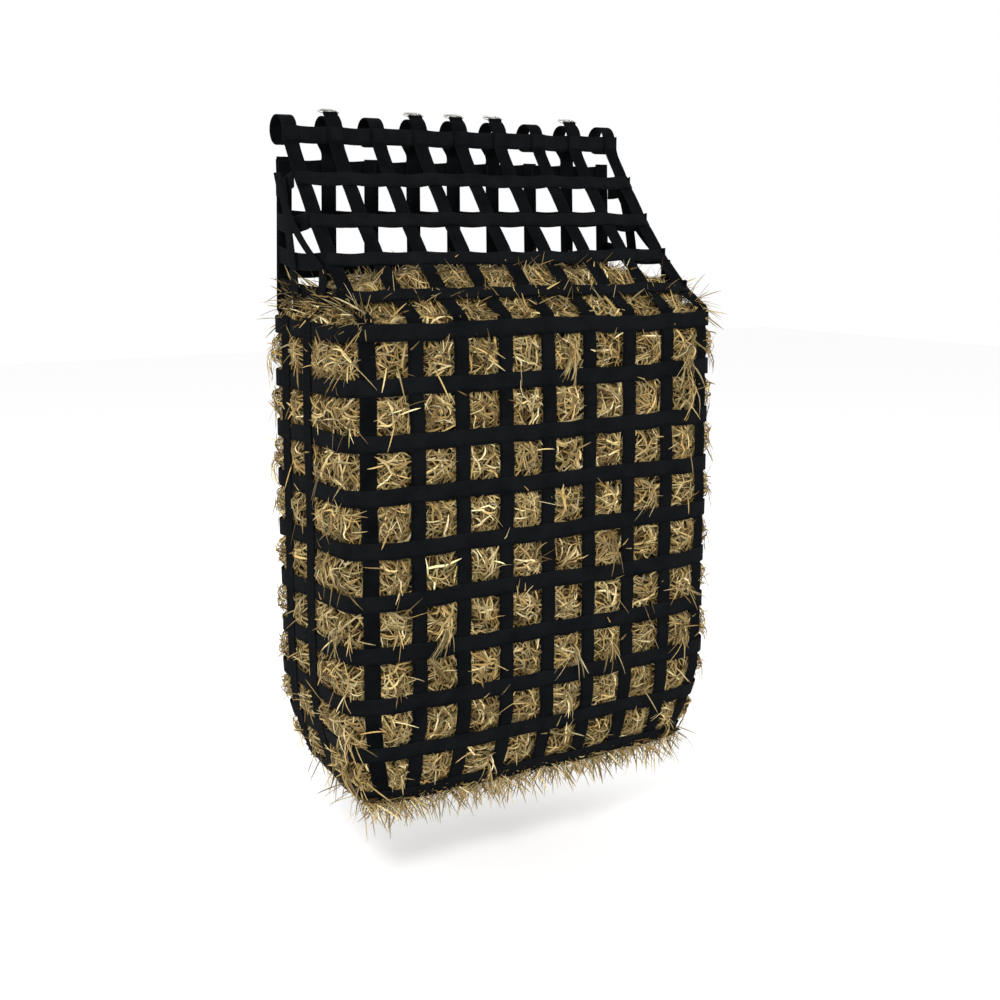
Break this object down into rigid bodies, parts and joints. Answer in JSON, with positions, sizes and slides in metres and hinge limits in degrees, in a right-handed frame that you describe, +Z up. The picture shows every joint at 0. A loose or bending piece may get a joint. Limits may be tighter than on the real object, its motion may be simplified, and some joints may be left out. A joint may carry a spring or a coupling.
{
  "type": "hay net",
  "caption": "Boxy slow-feed hay bag of black webbing in an open square grid, packed with hay and hung over a round rail by webbing loops, with a fold-open mouth and steel D-rings.",
  "frame": {"origin": "on the axis of the rail that the net hangs from, half way along the bag", "axes": "+X along the rail to the right as seen from the front, +Y to the rear, +Z up; the front of the bag faces -Y"},
  "size_m": [0.666, 0.3004, 1.0668],
  "materials": {
    "webbing": "black ribbed nylon webbing, slight sheen",
    "band_webbing": "black ribbed nylon webbing, slight sheen",
    "steel": "nickel-plated wire",
    "hay": "dry matt stalks"
  },
  "bodies": {
    "net_body": {"long_strap_2": "webbing", "long_strap_3": "webbing", "long_strap_4": "webbing", "long_strap_5": "webbing", "long_strap_6": "webbing", "long_strap_7": "webbing", "long_strap_8": "webbing", "left_front_corner_strap": "webbing", "left_back_corner_strap": "webbing", "left_gusset": "webbing", "right_front_corner_strap": "webbing", "right_back_corner_strap": "webbing", "right_gusset": "webbing", "cross_strap_front": "webbing", "cross_strap_back": "webbing", "ring_band_05": "band_webbing", "ring_band_06": "band_webbing", "ring_band_07": "band_webbing", "ring_band_08": "band_webbing", "ring_band_09": "band_webbing", "ring_band_10": "band_webbing", "ring_band_11": "band_webbing", "ring_band_12": "band_webbing", "ring_band_13": "band_webbing", "ring_band_14": "band_webbing", "back_band_1": "band_webbing", "back_band_2": "band_webbing", "back_band_3": "band_webbing", "back_loop_2": "webbing", "back_loop_4": "webbing", "back_loop_5": "webbing", "back_loop_6": "webbing", "back_loop_8": "webbing", "packed_hay": "hay"},
    "mouth_flap": {"flap_strap_1": "webbing", "flap_strap_2": "webbing", "flap_strap_3": "webbing", "flap_strap_4": "webbing", "flap_strap_5": "webbing", "flap_strap_6": "webbing", "flap_strap_7": "webbing", "flap_strap_8": "webbing", "flap_strap_9": "webbing", "flap_band_1": "band_webbing", "flap_band_2": "band_webbing", "flap_band_3": "band_webbing", "flap_band_4": "band_webbing", "top_edge_band": "band_webbing", "hanging_loop_1": "webbing", "hanging_loop_3": "webbing", "hanging_loop_7": "webbing", "hanging_loop_9": "webbing"},
    "ring_fitting_2": {"d_ring_2": "steel"},
    "ring_fitting_4": {"d_ring_4": "steel"},
    "ring_fitting_5": {"d_ring_5": "steel"},
    "ring_fitting_6": {"d_ring_6": "steel"},
    "ring_fitting_8": {"d_ring_8": "steel"}
  },
  "joints": [
    {"name": "mouth_open", "type": "hinge", "parent": "net_body", "child": "mouth_flap", "pos_m": [0, -0.2747, -0.276], "axis": [1, 0, 0], "range_deg": [0, 47], "deforming": ["left_gusset", "right_gusset"]},
    {"name": "d_ring_2_swing", "type": "hinge", "parent": "mouth_flap", "child": "ring_fitting_2", "pos_m": [-0.2235, -0.0089, 0.02739], "axis": [1, 0, 0], "range_deg": [0, 180]},
    {"name": "d_ring_4_swing", "type": "hinge", "parent": "mouth_flap", "child": "ring_fitting_4", "pos_m": [-0.0745, -0.0089, 0.02739], "axis": [1, 0, 0], "range_deg": [0, 180]},
    {"name": "d_ring_5_swing", "type": "hinge", "parent": "mouth_flap", "child": "ring_fitting_5", "pos_m": [0, -0.0089, 0.02739], "axis": [1, 0, 0], "range_deg": [0, 180]},
    {"name": "d_ring_6_swing", "type": "hinge", "parent": "mouth_flap", "child": "ring_fitting_6", "pos_m": [0.0745, -0.0089, 0.02739], "axis": [1, 0, 0], "range_deg": [0, 180]},
    {"name": "d_ring_8_swing", "type": "hinge", "parent": "mouth_flap", "child": "ring_fitting_8", "pos_m": [0.2235, -0.0089, 0.02739], "axis": [1, 0, 0], "range_deg": [0, 180]}
  ]
}
